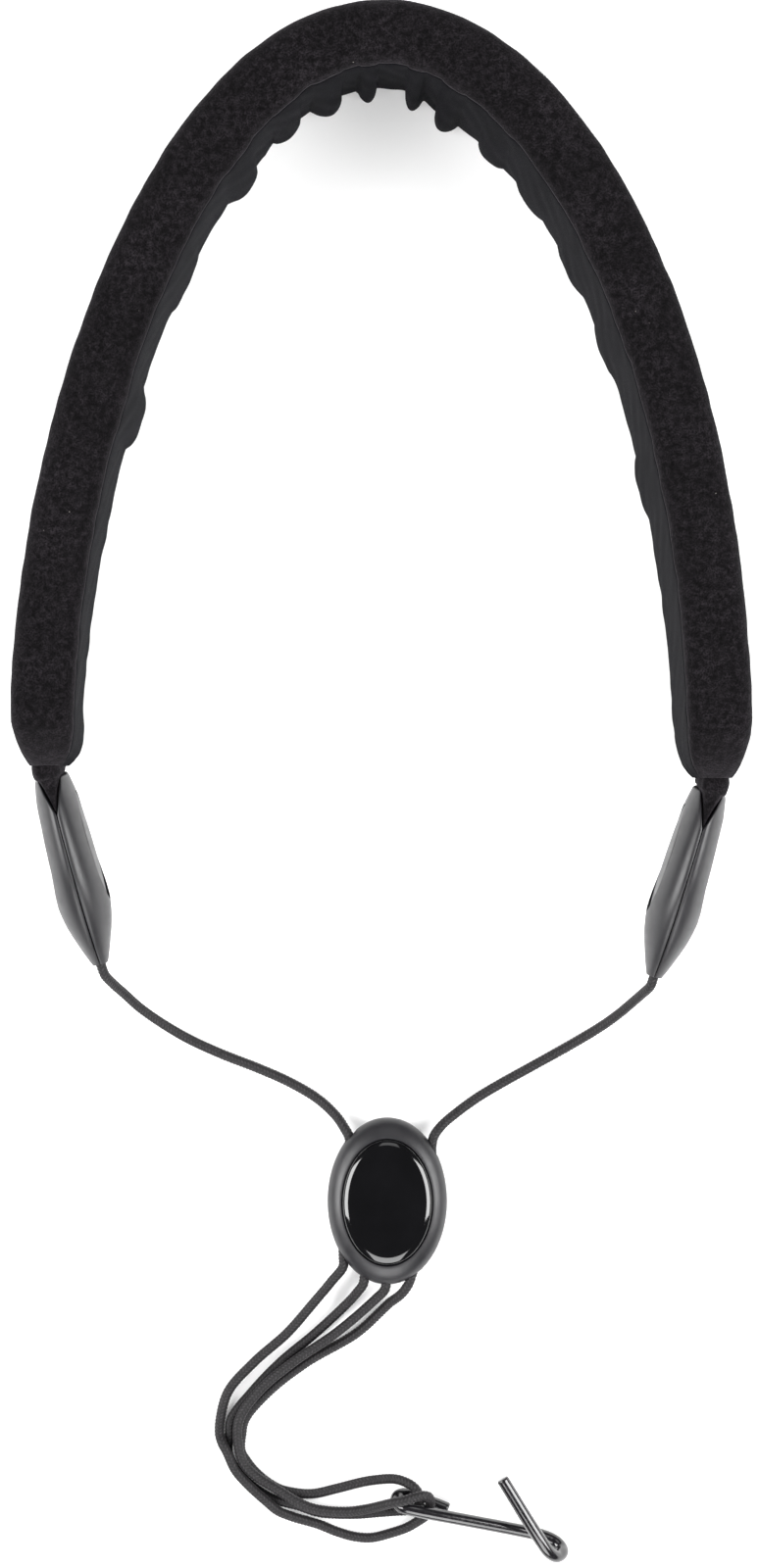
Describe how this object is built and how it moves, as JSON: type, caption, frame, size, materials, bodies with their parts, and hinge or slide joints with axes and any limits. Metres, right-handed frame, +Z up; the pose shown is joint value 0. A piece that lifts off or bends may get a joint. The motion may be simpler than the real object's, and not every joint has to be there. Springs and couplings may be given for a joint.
{
  "type": "saxophone neck strap",
  "caption": "Padded U-shaped neck strap with oval end pods, a braided cord, an oval slider and a bent wire hook, laid flat with the pad on edge.",
  "frame": {"origin": "middle of the arch, on the pad edge that rests on the table", "axes": "+Y from the hook towards the top of the arch, +Z up from the table, +X towards the right-hand pod seen from above"},
  "size_m": [0.1809, 0.3882, 0.05],
  "materials": {
    "velour": "short-pile black velour",
    "lining_knit": "smooth blue-grey black knit",
    "foam": "soft closed-cell foam",
    "webbing": "black woven ribbon",
    "satin_plastic": "satin dark grey moulded plastic",
    "gloss_plastic": "polished black",
    "cord": "black and charcoal braided cord",
    "steel": "plain steel",
    "coated_wire": "glossy black coating"
  },
  "bodies": {
    "strap_pad": {"pad_cover": "velour", "pad_lining": "lining_knit", "foam_outer_layer": "foam", "foam_inner_layer": "foam", "load_strap": "webbing", "left_tab_sleeve": "velour", "right_tab_sleeve": "velour"},
    "left_pod": {"left_pod_outer_shell": "satin_plastic", "left_pod_inner_shell": "satin_plastic", "left_pod_outer_inlay": "satin_plastic", "left_pod_inner_inlay": "satin_plastic", "left_tab_webbing": "webbing", "left_tab_pin": "steel", "left_cord_knot": "cord", "upper_cord_left_pod_half": "cord"},
    "right_pod": {"right_pod_outer_shell": "satin_plastic", "right_pod_inner_shell": "satin_plastic", "right_pod_outer_inlay": "satin_plastic", "right_pod_inner_inlay": "satin_plastic", "right_tab_webbing": "webbing", "right_tab_pin": "steel", "right_cord_knot": "cord", "upper_cord_right_pod_half": "cord"},
    "slider": {"slider_front_shell": "satin_plastic", "slider_back_shell": "satin_plastic", "slider_front_inlay": "gloss_plastic", "slider_turn_pin": "steel", "slider_cord_left": "cord", "slider_cord_right": "cord", "slider_cord_bight": "cord", "upper_cord_left_slider_half": "cord", "upper_cord_right_slider_half": "cord"},
    "cord_loops": {"lower_loop_outer": "cord", "lower_loop_inner": "cord"},
    "hook": {"hook_wire": "coated_wire"}
  },
  "joints": [
    {"name": "left_pod_flex", "type": "hinge", "parent": "strap_pad", "child": "left_pod", "pos_m": [-0.0825, -0.179, 0.025], "axis": [0, 0, 1], "range_deg": [-12, 12], "deforming": ["left_tab_sleeve", "left_tab_webbing", "upper_cord_left_pod_half"]},
    {"name": "right_pod_flex", "type": "hinge", "parent": "strap_pad", "child": "right_pod", "pos_m": [0.0819, -0.1825, 0.025], "axis": [0, 0, 1], "range_deg": [-12, 12], "deforming": ["right_tab_sleeve", "right_tab_webbing", "upper_cord_right_pod_half"]},
    {"name": "slider_travel", "type": "slide", "parent": "strap_pad", "child": "slider", "axis": [0, -1, 0], "range_m": [-0.04, 0.05], "deforming": ["upper_cord_left_slider_half", "upper_cord_right_slider_half"]},
    {"name": "hook_draw", "type": "slide", "parent": "slider", "child": "cord_loops", "axis": [0, -1, 0], "range_m": [-0.025, 0.02], "deforming": ["lower_loop_outer", "lower_loop_inner"]},
    {"name": "hook_swing", "type": "hinge", "parent": "cord_loops", "child": "hook", "pos_m": [0.0105, -0.3665, 0.0045], "axis": [0, 0, 1], "range_deg": [-15, 15]}
  ],
  "couplings": [
    {"joint": "hook_draw", "follows": "slider_travel", "ratio": -0.5}
  ]
}
